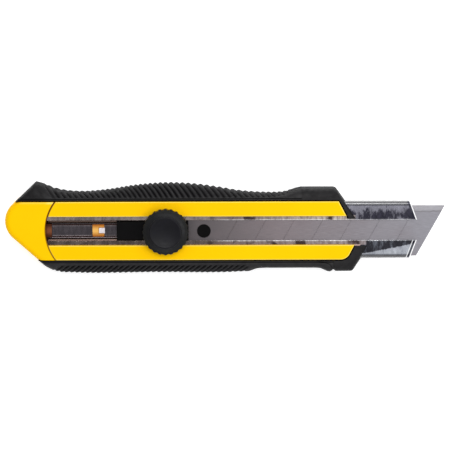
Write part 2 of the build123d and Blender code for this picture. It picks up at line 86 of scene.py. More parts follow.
# Trim beside the panel as (distance from the panel, depth): a slot painted in full shade, a bead and a
# groove.
TRIM = [
    (0.0, 0.6),
    (0.55, 0.6),
    (0.65, 0.12),
    (0.78, 0.02),
    (0.95, 0.02),
    (1.05, 0.1),
    (1.15, 0.42),
    (1.4, 0.42),
    (1.52, 0.06),
    (1.65, 0.0),
]
TRIM_OUT, TRIM_DEPTH = np.array(TRIM).T
TRIM_SLOT = 2  # rows in the slot, which is painted in full shade
SIDE_ROWS = 22  # rows from the trim to the silhouette
VALLEY_SHADE = 0.75  # strength of the painted shade in the valleys between ribs, where the slot beside the panel is 1
SHOULDER = 0.45  # share of the half depth below which a rib runs straight down the side
COLUMNS_PER_RIB = 10
SETTLING_ROUNDS = 6  # a column's shift depends on the height where it ends up, so it is found in rounds
LOFT_SHARP_ANGLE = 55  # degrees between faces from which an edge stays sharp
CUT_SHARP_ANGLE = 35


def smooth_curve(points):
    """A function through (x, y) points that runs smoothly from each to the next."""
    xs, ys = np.array(points, float).T
    slopes = np.gradient(ys, xs)

    def height(x):
        x = np.clip(x, xs[0], xs[-1])
        i = np.clip(np.searchsorted(xs, x, side="right") - 1, 0, len(xs) - 2)
        width = xs[i + 1] - xs[i]
        t = (x - xs[i]) / width
        rise = ys[i] * (1 + 2 * t) * (1 - t) ** 2 + ys[i + 1] * t * t * (3 - 2 * t)
        return rise + width * t * (1 - t) * (slopes[i] * (1 - t) - slopes[i + 1] * t)

    return height


def ramp(x, start, end):
    """0 before start, 1 after end, smooth between them."""
    t = np.clip((x - start) / (end - start), 0, 1)
    return t * t * (3 - 2 * t)


def rib_columns(pitch, start, end):
    """X places along the grip, so that each rib has the same number of columns, and the ribs' phase there."""
    xs = np.linspace(start, end, 4000)
    phase = np.concatenate([[0], np.cumsum(np.diff(xs) / pitch((xs[1:] + xs[:-1]) / 2))])
    steps = np.arange(0, math.floor(phase[-1] * COLUMNS_PER_RIB) + 1) / COLUMNS_PER_RIB
    places = np.interp(steps, phase, xs)
    return places, lambda x: np.interp(x, xs, phase, left=0.0, right=phase[-1])


def section(height, square, path_rows):
    """Front half of closed sections, from the panel to the silhouette.

    height is the reach out from the panel and square the squareness, each with a row per section point.
    Returns the distance out from the panel, and the height up from the middle as a share of the half depth.
    """
    trim_rows = len(TRIM)
    scale = np.minimum(1, height / 3)
    trim = TRIM_OUT[:, None] * scale[:trim_rows]
    trim_up = (1 - (trim / height[:trim_rows]) ** square[:trim_rows]) ** (1 / square[:trim_rows])
    tall, corner = height[trim_rows:], square[trim_rows:]
    first = TRIM_OUT[-1] * scale[trim_rows:] / tall
    angle = np.arctan2((1 - first**corner) ** (1 / corner), first) * (1 - path_rows)
    reach = (np.cos(angle) ** corner + np.abs(np.sin(angle)) ** corner) ** (-1 / corner)
    return np.vstack([trim, tall * reach * np.cos(angle)]), np.vstack([trim_up, reach * np.sin(angle)]), scale


def loft(name, loop, groove_shade, flip):
    """A closed mesh from sections: loop holds rows of points around and columns along,
    the third argument the painted shade at each point.
    """
    rows, columns = loop.shape[:2]
    faces = []
    for c in range(columns - 1):
        for r in range(rows):
            after = (r + 1) % rows
            faces.append((r * columns + c, r * columns + c + 1, after * columns + c + 1, after * columns + c))
    faces.append([r * columns for r in range(rows)])
    faces.append([r * columns + columns - 1 for r in reversed(range(rows))])
    if flip:
        faces = [face[::-1] for face in faces]
    mesh = bpy.data.meshes.new(name)
    mesh.from_pydata((loop.reshape(-1, 3) * MM).tolist(), [], faces)
    mesh.update()
    mesh.polygons.foreach_set("use_smooth", [True] * len(mesh.polygons))
    mesh.set_sharp_from_angle(angle=math.radians(LOFT_SHARP_ANGLE))
    shade = mesh.attributes.new("groove_shade", "FLOAT", "POINT")
    shade.data.foreach_set("value", groove_shade.ravel().astype(np.float32))
    piece = bpy.data.objects.new(name, mesh)
    bpy.context.scene.collection.objects.link(piece)
    return piece


def lean_back(up):
    """How far ribs have leant back at a share of the height, in mm: over the shoulder, then straight down."""
    return LEAN * GRIP_HALF_DEPTH * np.clip((1 - up) / (1 - SHOULDER), 0, 1)


def build_grip(name, side, shape):
    """A ribbed grip: closed sections in a row along X, on the +Y side or the -Y side of the panel.

    shape holds: ends (rear and front X), height(x) out from the panel, squareness(x) of the section,
    columns (X places at the panel), shift(x) of the columns at the silhouette, phase(x), slant,
    rib_mask(x_at_panel, x, out, height), rib_depth, extra_depth(x, out) and painted_shade(x), the rubber's
    painted shade.
    """
    start_x = shape["columns"][None, :]
    path_rows = np.linspace(0, 1, SIDE_ROWS + 1)[1:, None]
    x = np.repeat(start_x, len(TRIM) + SIDE_ROWS, axis=0)
    for _ in range(SETTLING_ROUNDS):
        height = shape["height"](x)
        out, up, scale = section(height, shape["squareness"](x), path_rows)
        travel = (out + lean_back(up)) / (height + LEAN * GRIP_HALF_DEPTH)
        x = np.clip(start_x - shape["shift"](start_x) * travel, *shape["ends"])
    rise = GRIP_HALF_DEPTH * up
    surface = np.stack([x, out, rise], axis=-1)

    normal = np.cross(np.gradient(surface, axis=0), np.gradient(surface, axis=1))
    normal /= np.maximum(np.linalg.norm(normal, axis=-1, keepdims=True), 1e-9)
    outward = np.sum(normal * np.stack([0 * x, out, rise], axis=-1), axis=-1, keepdims=True)
    normal *= np.where(outward < 0, -1, 1)

    rib_x = x + shape["slant"] * (out + lean_back(up))
    wave = np.abs(np.sin(math.pi * shape["phase"](rib_x)))
    depth = shape["rib_depth"] * (1 - wave) * shape["rib_mask"](rib_x, x, out, height)
    depth += shape["extra_depth"](x, out)
    depth[: len(TRIM)] += TRIM_DEPTH[:, None] * scale[: len(TRIM)]
    normal[: len(TRIM)] = (0, 0, 1)
    surface = surface - normal * depth[..., None]

    loop = np.vstack([surface, surface[:-1][::-1] * (1, 1, -1)])
    # painted shade for the rubber: from the groove depth with the finger-rest seam counted twice, the shape's
    # painted shade, and darkest in the trim's slot
    groove_shade = VALLEY_SHADE * (depth + shape["extra_depth"](x, out)) / shape["rib_depth"]
    groove_shade += shape["painted_shade"](x)
    groove_shade[: len(TRIM)] = np.maximum(groove_shade[: len(TRIM)], (TRIM_DEPTH / TRIM_DEPTH.max())[:, None])
    groove_shade = np.vstack([groove_shade, groove_shade[:-1][::-1]])
    loop[..., 1] = side * (INNER_Y + loop[..., 1])
    loop[..., 2] += GRIP_MID_Z
    return loft(name, loop, groove_shade, side < 0)


def upper_grip_shape():
    """Palm side: a flat wedge at the heel, then slanted ribs over the hump, up to the nose."""
    heel_x = low("upper_grip").x
    tip_x = heel_x - 0.4  # the wedge's thin tip laps over the end cap's corner
    peak_x = -74.75
    fold_x = -65.5  # where the wedge's fold meets the panel
    hump_squareness = 2.2
    smooth_band = 1.9  # the ribs stop this far from the panel, and further out towards the nose
    joint_x = high("upper_grip").x
    peak = high("upper_grip").y - INNER_Y
    crest = smooth_curve(
        [
            (peak_x, peak),
            (-70.5, 8.0),
            (-66.0, 6.3),
            (-60.6, 5.0),
            (-51.0, 4.35),
            (-40.0, 5.25),
            (-26.0, 7.45),
            (-9.0, 8.65),
            (4.0, 8.0),
            (15.0, 6.5),
            (25.6, 4.65),
            (37.0, 3.7),
            (49.0, 4.2),
            (53.0, 5.2),
            (joint_x, NOSE_TOP_Y - INNER_Y),
        ]
    )

    def height(x):
        wedge = peak * (x - tip_x) / (peak_x - tip_x)
        return np.maximum(np.where(x < peak_x, wedge, crest(x)), 0.3)

    def squareness(x):
        flat_rear = 1 - ramp(x, peak_x - 2, peak_x + 6)
        flat_front = ramp(x, joint_x - 9, joint_x)
        return hump_squareness + 1.3 * flat_rear + (NOSE_SQUARENESS - hump_squareness) * flat_front

    pitch = smooth_curve(
        [(-65, 3.1), (-42, 2.62), (-12, 2.57), (4, 2.84), (24, 2.92), (44, 2.69), (60, 2.62)]
    )
    slant = 0.5
    ribs_start = fold_x + 1.1
    ribs, phase = rib_columns(pitch, ribs_start, joint_x + 8)

    def shift(x):
        in_wedge = (fold_x - peak_x) * (x - tip_x) / (fold_x - tip_x)
        on_ribs = slant * (height(x - 6) + LEAN * GRIP_HALF_DEPTH)
        past_fold = (fold_x - peak_x - on_ribs) * (1 - ramp(x, fold_x, fold_x + 9))
        return np.where(x < fold_x, in_wedge, on_ribs + past_fold) * (1 - ramp(x, joint_x - 14, joint_x))

    def rib_mask(rib_x, x, out, height_here):
        lower_end = smooth_band + (height_here - smooth_band) * ramp(x, 33, joint_x - 0.5) ** 2
        start = ramp(rib_x, ribs_start - 0.6, ribs_start + 0.6)
        before_joint = 1 - ramp(x, joint_x - 1.6, joint_x - 0.6)
        return start * ramp(out, lower_end - 0.2, lower_end + 0.5) * before_joint

    wedge = np.linspace(tip_x + 0.25, ribs_start, 30)[:-1]
    ribs = ribs[ribs < joint_x - 0.05]
    return {
        "ends": (tip_x, joint_x),
        "height": height,
        "squareness": squareness,
        "columns": np.concatenate([wedge, ribs, [joint_x]]),
        "shift": shift,
        "phase": phase,
        "slant": slant,
        "rib_mask": rib_mask,
        "rib_depth": 0.95,
        "extra_depth": lambda x, out: 0 * x,
        # painted shade on the flat wedge at the heel
        "painted_shade": lambda x: 0.42 * (1 - ramp(x, -72, -66)),
    }


def lower_grip_shape():
    """Finger side: slanted ribs along the belly, then a smooth finger rest and a flare towards the nose."""
    heel_x = low("lower_grip").x
    joint_x = high("lower_grip").x
    rest_x = 40.0  # where the smooth finger rest starts
    seam_x = 62.0  # where the seam before the nose guard starts
    rib_pitch = 2.7
    belly_squareness = 2.6
    belly = smooth_curve(
        [
            (heel_x, 0.05),
            (-71.0, 3.1),
            (-67.5, 5.5),
            (-62.5, 7.0),
            (-57.0, 7.3),
            (-15.0, 7.25),
            (26.0, 7.05),
            (30.0, 6.8),
            (34.5, 5.1),
            (38.0, 4.8),
            (42.0, 4.8),
            (60.0, 4.8),
            (64.0, 4.85),
            (66.0, 5.15),
            (67.7, 5.95),
            (69.4, 6.6),
            (70.6, 6.7),
            (joint_x, 5.9),
        ]
    )
    seam = smooth_curve([(seam_x, 1.3), (66.0, 1.4), (68.8, 1.95), (70.8, 3.4), (joint_x, 5.6)])

    def height(x):
        return np.maximum(belly(x), 0.05)

    def squareness(x):
        return belly_squareness + (NOSE_SQUARENESS - belly_squareness) * ramp(x, 28, 36)

    def pitch(x):
        return rib_pitch + 0 * x

    ribs_start = -56.0 - 2 * rib_pitch
    ribs, phase = rib_columns(pitch, ribs_start, rest_x)
    slant = 0.8

    def extra_depth(x, out):
        """The curved seam where the finger rest runs out into the nose guard."""
        return 0.5 * np.exp(-(((out - seam(x)) / 0.3) ** 2)) * ramp(x, seam_x, seam_x + 4)

    def shift(x):
        full = slant * (height(x - 6) + LEAN * GRIP_HALF_DEPTH)
        return full * ramp(x, heel_x, ribs_start) * (1 - ramp(x, rest_x - 8, rest_x))

    def rib_mask(rib_x, x, out, height_here):
        ends = ramp(rib_x, ribs_start, ribs_start + 2) * (1 - ramp(x, 29, 30.5))
        return ends * ramp(out, 2.6, 3.3)

    rear = np.linspace(heel_x + 0.3, ribs_start, 24)[:-1]
    finger_rest = np.linspace(rest_x, seam_x, 34)[1:]
    flare = np.linspace(seam_x, joint_x, 36)[1:]
    return {
        "ends": (heel_x, joint_x),
        "height": height,
        "squareness": squareness,
        "columns": np.concatenate([rear, ribs, finger_rest, flare]),
        "shift": shift,
        "phase": phase,
        "slant": slant,
        "rib_mask": rib_mask,
        "rib_depth": 1.2,
        "extra_depth": extra_depth,
        "painted_shade": lambda x: 0 * x,
    }


# ---------------------------------------------------------------- nose guard geometry
def rounded_outline(points, radii, step=0.7):
    """Points along a polyline whose corners are rounded, about a step apart."""
    corners = [Vector(p) for p in points]
    path = [corners[0]]
    for before, corner, after, radius in zip(corners, corners[1:], corners[2:], radii):
        back, ahead = (before - corner).normalized(), (after - corner).normalized()
        half = back.angle(ahead) / 2
        cut = radius / math.tan(half)
        centre = corner + (back + ahead).normalized() * radius / math.sin(half)
        start, end = corner + back * cut - centre, corner + ahead * cut - centre
        for i in range(7):
            path.append(centre + start.slerp(end, i / 6).normalized() * radius)
    path.append(corners[-1])
    dense = []
    for a, b in zip(path, path[1:]):
        pieces = max(1, round((b - a).length / step))
        dense += [a.lerp(b, i / pieces) for i in range(pieces)]
    return dense + [path[-1]]


def nearest_on(path, point):
    """The point of a polyline that lies nearest to a point."""
    best = None
    for a, b in zip(path, path[1:]):
        along = b - a
        t = min(1.0, max(0.0, (point - a).dot(along) / max(along.length_squared, 1e-9)))
        spot = a + along * t
        if best is None or (spot - point).length < (best - point).length:
            best = spot
    return best


def cutter(x_low, x_high, y_low, y_high, z_low, z_high):
    """A block to cut away, with corners in mm."""
    corners = [(x, y, z) for x in (x_low, x_high) for y in (y_low, y_high) for z in (z_low, z_high)]
    faces = [(0, 1, 3, 2), (4, 6, 7, 5), (0, 4, 5, 1), (2, 3, 7, 6), (0, 2, 6, 4), (1, 5, 7, 3)]
    mesh = bpy.data.meshes.new("cutter")
    mesh.from_pydata([Vector(c) * MM for c in corners], [], faces)
    block = bpy.data.objects.new("cutter", mesh)
    bpy.context.scene.collection.objects.link(block)
    return block


def cut_away(piece, blocks):
    """Cuts blocks out of a piece for good, and removes them."""
    for block in blocks:
        boolean = piece.modifiers.new("cut", "BOOLEAN")
        boolean.object = block
        boolean.operation = "DIFFERENCE"
        boolean.solver = "EXACT"
    shaped = bpy.data.meshes.new_from_object(piece.evaluated_get(bpy.context.evaluated_depsgraph_get()))
    piece.modifiers.clear()
    piece.data = shaped
    for block in blocks:
        bpy.data.objects.remove(block)
    shaped.polygons.foreach_set("use_smooth", [True] * len(shaped.polygons))
    shaped.set_sharp_from_angle(angle=math.radians(CUT_SHARP_ANGLE))


def build_nose():
    """The nose guard: rounded sections round the front of the panel, with the mouth cut for the channel."""
    joint_x = low("nose_guard").x
    top_y, bottom_y = NOSE_TOP_Y, low("nose_guard").y
    rear_x = high("lower_grip").x + 0.1
    inner = rounded_outline(
        [
            (joint_x, INNER_Y),
            (74.3, INNER_Y),
            (78.2, 7.1),
            (82.2, -7.1),
            (78.4, -INNER_Y),
            (rear_x, -INNER_Y),
        ],
        [0.2, 0.2, 0.2, 5.0],
    )
    outer = rounded_outline(
        [
            (joint_x, top_y),
            (73.2, top_y),
            (83.4, 6.0),
            (high("nose_guard").x + 0.9, -6.6),
            (86.5, -13.2),
            (81.6, bottom_y),
            (73.2, bottom_y),
            (rear_x, bottom_y + 1.0),
        ],
        [2.2, 0.4, 0.6, 2.0, 1.8, 0.6],
    )
    starts = [nearest_on(inner, point) for point in outer]
    starts[0], starts[-1] = inner[0], inner[-1]
    foot = np.array([tuple(p) for p in starts])
    head = np.array([tuple(p) for p in outer])
    height = np.linalg.norm(head - foot, axis=1)
    away = (head - foot) / height[:, None]
    rows = len(TRIM) + SIDE_ROWS
    tall = np.repeat(height[None, :], rows, axis=0)
    path_rows = np.linspace(0, 1, SIDE_ROWS + 1)[1:, None]
    out, up, scale = section(tall, np.full_like(tall, NOSE_SQUARENESS), path_rows)
    rise = GRIP_HALF_DEPTH * up
    slot = np.arange(len(TRIM)) < TRIM_SLOT
    rise[: len(TRIM)] -= np.where(slot, TRIM_DEPTH, 0)[:, None] * scale[: len(TRIM)]
    flat = foot[None] + away[None] * out[..., None]
    surface = np.concatenate([flat, rise[..., None]], axis=-1)
    loop = np.vstack([surface, surface[:-1][::-1] * (1, 1, -1)])
    loop[..., 2] += GRIP_MID_Z
    # painted shade: full in the slot beside the panel, none elsewhere
    groove_shade = np.zeros(loop.shape[:2])
    groove_shade[:TRIM_SLOT] = 1
    nose = loft("nose_guard_rounded", loop, groove_shade, False)
    channel_top, channel_low = high("blade_channel").z, low("blade_channel").z
    mouth_x = (60.0, 100.0)
    channel_y = (-14.1, 14.1)
    slot_y = (-7.75, 5.7)
    above_all = 30.0
    channel_mouth = cutter(*mouth_x, *channel_y, channel_low - 0.1, channel_top + 0.05)
    blade_slot = cutter(*mouth_x, *slot_y, channel_top - 0.5, above_all)
    cut_away(nose, [channel_mouth, blade_slot])
    return nose


# ---------------------------------------------------------------- material helpers
def new_material(name):
    """A node material, with its tree and its Principled surface."""
    material = bpy.data.materials.new(name)
    material.use_nodes = True
    return material, material.node_tree, material.node_tree.nodes["Principled BSDF"]


def wire(tree, value, socket):
    """Sets a socket to a value, or links another node's output to it."""
    if isinstance(value, bpy.types.NodeSocket):
        tree.links.new(value, socket)
    else:
        socket.default_value = value


def place(tree, stretch=(1, 1, 1)):
    """The point being shaded in metres, stretched along each axis."""
    coordinate = tree.nodes.new("ShaderNodeTexCoord")
    mapping = tree.nodes.new("ShaderNodeMapping")
    mapping.inputs["Scale"].default_value = stretch
    tree.links.new(coordinate.outputs["Object"], mapping.inputs["Vector"])
    return mapping.outputs["Vector"]


def noise(tree, scale, stretch=(1, 1, 1), detail=3.0, roughness=0.5):
    """Noise from 0 to 1, with scale in features for each metre."""
    made = tree.nodes.new("ShaderNodeTexNoise")
    made.inputs["Scale"].default_value = scale
    made.inputs["Detail"].default_value = detail
    made.inputs["Roughness"].default_value = roughness
    tree.links.new(place(tree, stretch), made.inputs["Vector"])
    return made.outputs["Fac"]


def spread(tree, value, from_low, from_high, to_low, to_high):
    """Maps a range of a value onto another, without running past its ends."""
    made = tree.nodes.new("ShaderNodeMapRange")
    for socket, setting in zip(made.inputs, (value, from_low, from_high, to_low, to_high)):
        wire(tree, setting, socket)
    return made.outputs["Result"]


def combine(tree, kind, first, second):
    """A math node."""
    made = tree.nodes.new("ShaderNodeMath")
    made.operation = kind
    wire(tree, first, made.inputs[0])
    wire(tree, second, made.inputs[1])
    return made.outputs[0]


def blend_colors(tree, share, first, second, kind="MIX"):
    """Mixes two colours by a share."""
    made = tree.nodes.new("ShaderNodeMix")
    made.data_type = "RGBA"
    made.blend_type = kind
    wire(tree, share, made.inputs[0])
    for value, socket in ((first, made.inputs[6]), (second, made.inputs[7])):
        wire(tree, value if isinstance(value, bpy.types.NodeSocket) else (*value, 1), socket)
    return made.outputs[2]


def along(tree, axis):
    """The shaded point's place along X, Y or Z, in mm."""
    split = tree.nodes.new("ShaderNodeSeparateXYZ")
    tree.links.new(place(tree, (1 / MM, 1 / MM, 1 / MM)), split.inputs[0])
    return split.outputs[axis]


def away_from(tree, axis, middle):
    """Distance to either side of a middle along an axis, in mm."""
    return combine(tree, "ABSOLUTE", combine(tree, "SUBTRACT", along(tree, axis), middle), 0)


def stripe(tree, value, start, end, soft=0.2):
    """1 where the value is between start and end, 0 outside, soft at both ends."""
    rise = spread(tree, value, start - soft / 2, start + soft / 2, 0, 1)
    fall = spread(tree, value, end - soft / 2, end + soft / 2, 1, 0)
    return combine(tree, "MULTIPLY", rise, fall)


def all_of(tree, *shares):
    """The product of several shares."""
    total = shares[0]
    for share in shares[1:]:
        total = combine(tree, "MULTIPLY", total, share)
    return total


def facing_up(tree):
    """The Z part of the normal."""
    geometry = tree.nodes.new("ShaderNodeNewGeometry")
    split = tree.nodes.new("ShaderNodeSeparateXYZ")
    tree.links.new(geometry.outputs["Normal"], split.inputs[0])
    return split.outputs["Z"]


def rounded_normal(tree, radius):
    """The normal with hard edges rounded over, radius in mm."""
    bevel = tree.nodes.new("ShaderNodeBevel")
    bevel.samples = 6
    bevel.inputs["Radius"].default_value = radius * MM
    return bevel.outputs["Normal"]


def edge_share(tree, radius):
    """0 on flats and up to 1 along hard edges."""
    geometry = tree.nodes.new("ShaderNodeNewGeometry")
    dot = tree.nodes.new("ShaderNodeVectorMath")
    dot.operation = "DOT_PRODUCT"
    tree.links.new(rounded_normal(tree, radius), dot.inputs[0])
    tree.links.new(geometry.outputs["Normal"], dot.inputs[1])
    return spread(tree, dot.outputs["Value"], 0.995, 0.8, 0, 1)


def crevice(tree, reach):
    """1 on open faces, less in narrow places, with the reach in mm."""
    made = tree.nodes.new("ShaderNodeAmbientOcclusion")
    made.samples = 8
    made.inputs["Distance"].default_value = reach * MM
    return made.outputs["AO"]


def bump(tree, height, distance, strength=1.0, normal=None):
    """A bump from a height of 0 to 1, with distance in mm."""
    made = tree.nodes.new("ShaderNodeBump")
    made.inputs["Strength"].default_value = strength
    made.inputs["Distance"].default_value = distance * MM
    tree.links.new(height, made.inputs["Height"])
    if normal is not None:
        tree.links.new(normal, made.inputs["Normal"])
    return made.outputs["Normal"]


# ---------------------------------------------------------------- finishes
SEAM_RADIUS = 24.15  # the end cap's seam is an arc about this point on the centreline
SEAM_CENTRE_X = -45.35
PANEL_RIM_Z = 17.2  # from here up the panel's rims catch the light
CATCH_X = (-50, -38)  # the catch seen through the window
LUG_X = (-75, -60.5)  # the end cap's lug seen through the channel's notch
GROOVE_Y = -0.7  # the middle of the catch, the lug and the channel's stepped groove


def yellow_plastic():
    """Moulded plastic with painted highlights on its rims, and painted shade in narrow places, down the
    heel's side, in the seam at the end cap, on the core's edge by the nose, and as amber and brown down
    inside the window.

    The core and the end cap share it, and it colours by position, so the lug's painted brown shade is on both
    of them.
    """
    material, tree, surface = new_material("yellow_plastic")
    x, y, z = (along(tree, axis) for axis in "XYZ")
    across = away_from(tree, "Y", 0.0)
    drift = spread(tree, noise(tree, 28, detail=2), 0.35, 0.65, 0, 1)
    body = blend_colors(tree, drift, (0.925, 0.528, 0.0012), (0.945, 0.555, 0.0011))
    # painted shade: darker and more orange in narrow places
    open_sky = spread(tree, crevice(tree, 0.9), 0.2, 0.7, 0, 1)
    shaded = blend_colors(tree, open_sky, (0.35, 0.11, 0.006), body)

    # painted highlights on the rims, along the straight edges and just past the heel
    slope = facing_up(tree)
    on_rim = spread(tree, z, PANEL_RIM_Z, PANEL_RIM_Z + 0.3, 0, 1)
    rim = all_of(tree, stripe(tree, slope, 0.45, 0.975, 0.03), on_rim)
    past_heel = all_of(tree, spread(tree, x, -84, -82, 0, 0.4), spread(tree, y, 13.4, 13.9, 0, 1))
    straight = combine(tree, "MAXIMUM", spread(tree, x, -70, -68, 0, 1), past_heel)
    rim_highlighted = blend_colors(tree, all_of(tree, rim, straight, 0.9), shaded, (0.98, 0.74, 0.13))
    # painted shade: the heel's side, where it turns away from above, goes a deeper orange
    heel_side_shade = all_of(tree, spread(tree, slope, 0.9, 0.5, 0, 0.6), spread(tree, x, -70, -71, 0, 1))
    heel_shaded = blend_colors(tree, heel_side_shade, rim_highlighted, (0.95, 0.48, 0.014))

    # painted shade in the seam between the core and the end cap, stronger towards +Y
    seam_x = combine(tree, "SUBTRACT", x, SEAM_CENTRE_X)
    squares = (combine(tree, "POWER", length, 2.0) for length in (seam_x, across))
    reach = combine(tree, "SQRT", combine(tree, "ADD", *squares), 0)
    from_seam = combine(tree, "SUBTRACT", reach, SEAM_RADIUS)
    line = stripe(tree, from_seam, -0.42, 0.42, 0.35)
    at_rear = spread(tree, x, -60, -62, 0, 1)
    seam = all_of(tree, line, at_rear, spread(tree, y, -10, 6, 0.55, 0.95))
    seam_shaded = blend_colors(tree, seam, heel_shaded, (0.15, 0.035, 0.001))

    # painted shade down inside the window: the yellow catch painted amber and the lug brown, both darker away
    # from the middle
    inside = all_of(tree, spread(tree, across, 6.9, 6.6, 0, 1), spread(tree, z, 15.6, 15.2, 0, 1))
    catch = all_of(tree, inside, stripe(tree, x, *CATCH_X))
    lug = all_of(tree, inside, stripe(tree, x, *LUG_X))
    shade_off_middle = spread(tree, away_from(tree, "Y", GROOVE_Y), 0.6, 2.6, 0, 1)
    catch_shade_color = blend_colors(tree, shade_off_middle, (0.95, 0.52, 0.13), (0.50, 0.16, 0.02))
    lug_shade_color = blend_colors(tree, shade_off_middle, (0.24, 0.085, 0.04), (0.08, 0.025, 0.012))
    caught = blend_colors(tree, catch, seam_shaded, catch_shade_color)
    lugged = blend_colors(tree, lug, caught, lug_shade_color)
    # painted shade, pinkish brown, on the core's edge below the rim beside the nose
    nose_edge_shade = all_of(tree, spread(tree, x, 79, 80, 0, 1), spread(tree, z, PANEL_RIM_Z, 16.8, 0, 1))
    wire(tree, blend_colors(tree, nose_edge_shade, lugged, (0.50, 0.36, 0.33)), surface.inputs["Base Color"])

    scuff = noise(tree, 900, (1, 3, 1))
    wire(tree, spread(tree, scuff, 0.3, 0.75, 0.3, 0.42), surface.inputs["Roughness"])
    surface.inputs["Specular IOR Level"].default_value = 0.025
    fine = noise(tree, 1400, detail=2)
    wire(tree, bump(tree, fine, 0.006, 0.5, rounded_normal(tree, 0.25)), surface.inputs["Normal"])
    return material


RUBBER_SHADE_COLOR = (0.0015, 0.0012, 0.0015)


def soft_rubber(name, dark, light, specular, side_shade):
    """Matt rubber, fine-grained and a little dusty, with painted shade in its grooves and, by side_shade,
    down its sides.
    """
    material, tree, surface = new_material(name)
    dust = spread(tree, noise(tree, 160, detail=5), 0.35, 0.7, 0, 1)
    body = blend_colors(tree, dust, dark, light)
    groove_shade = tree.nodes.new("ShaderNodeAttribute")
    groove_shade.attribute_name = "groove_shade"
    # painted shade: darker in grooves and slots and, by side_shade, on faces turned away from above
    valley = spread(tree, groove_shade.outputs["Fac"], 0.1, 1.0, 0, 1)
    shade = combine(tree, "MAXIMUM", valley, spread(tree, facing_up(tree), 0.0, 0.45, side_shade, 0))
    wire(tree, blend_colors(tree, shade, body, RUBBER_SHADE_COLOR), surface.inputs["Base Color"])
    wire(tree, spread(tree, noise(tree, 500), 0.3, 0.7, 0.55, 0.75), surface.inputs["Roughness"])
    wire(tree, spread(tree, shade, 0, 0.9, specular, 0.0), surface.inputs["Specular IOR Level"])
    grain = noise(tree, 3200, detail=3, roughness=0.65)
    wire(tree, bump(tree, grain, 0.03, 0.5), surface.inputs["Normal"])
    return material


def hard_black(name, color, roughness, specular, edge_radius):
    """Black moulded plastic with a spark-eroded grain and painted highlights along its edges."""
    material, tree, surface = new_material(name)
    drift = spread(tree, noise(tree, 220, detail=4), 0.3, 0.7, 0, 1)
    pale = tuple(min(1.0, 1.7 * c) for c in color)
    body = blend_colors(tree, drift, color, pale)
    # painted highlight: edges a little paler
    painted_reflection = combine(tree, "MULTIPLY", edge_share(tree, edge_radius), 0.5)
    lit = tuple(c + 0.02 for c in color)
    wire(tree, blend_colors(tree, painted_reflection, body, lit), surface.inputs["Base Color"])
    polish = spread(tree, noise(tree, 700), 0.3, 0.7, roughness, roughness + 0.14)
    wire(tree, polish, surface.inputs["Roughness"])
    surface.inputs["Specular IOR Level"].default_value = specular
    grain = noise(tree, 4200, detail=2)
    wire(tree, bump(tree, grain, 0.012, 0.5, rounded_normal(tree, edge_radius)), surface.inputs["Normal"])
    return material


def blade_steel():
    """Ground tool steel: fine grinding lines, painted shade towards the slider, painted sheen towards the
    tip, and a bevel painted paler as a highlight.
    """
    material, tree, surface = new_material("blade_steel")
    x, y = along(tree, "X"), along(tree, "Y")
    lines = noise(tree, 260, (1, 26, 1), detail=4, roughness=0.6)
    cloud = noise(tree, 60, (1, 2, 1), detail=4)
    # painted shade darkens the steel towards the slider, and painted sheen brightens it towards the tip
    rear = blend_colors(tree, spread(tree, x, 0, 45, 0, 1), (0.085, 0.076, 0.078), (0.215, 0.185, 0.195))
    bright = blend_colors(tree, spread(tree, x, 45, 135, 0, 1), rear, (0.295, 0.297, 0.328))
    streaked = blend_colors(tree, spread(tree, lines, 0.35, 0.7, 0, 0.35), bright, (0.11, 0.1, 0.11))
    stained = blend_colors(tree, spread(tree, cloud, 0.5, 0.8, 0, 0.35), streaked, (0.18, 0.145, 0.155))
    # painted highlight: the bevel a little paler
    bevel = spread(tree, y, 9.0, 9.2, 0, 0.1)
    bevel_sheen = blend_colors(tree, bevel, stained, (0.38, 0.38, 0.35))
    # a dark line that wanders along where the bevel starts
    wander = combine(tree, "MULTIPLY", noise(tree, 420, (1, 0.1, 1), detail=3), 1.2)
    wandering_dark_line = stripe(tree, combine(tree, "ADD", y, wander), 9.5, 9.75, 0.2)
    wire(tree, blend_colors(tree, wandering_dark_line, bevel_sheen, (0.16, 0.155, 0.165)), surface.inputs["Base Color"])
    surface.inputs["Metallic"].default_value = 1.0
    wire(tree, spread(tree, lines, 0.3, 0.7, 0.5, 0.6), surface.inputs["Roughness"])
    wire(tree, bump(tree, lines, 0.01, 0.4, rounded_normal(tree, 0.12)), surface.inputs["Normal"])
    return material


LIP_SLANT = 3.3 / 8.9  # how fast the lips' front ends slant forwards towards the slot
LIP_END_X = 109.6 + 14.0 * LIP_SLANT  # where the slanted ends would meet the channel's middle
GROOVE_Z = (12.9, 12.5)  # between these the lips' colours give way to the groove's


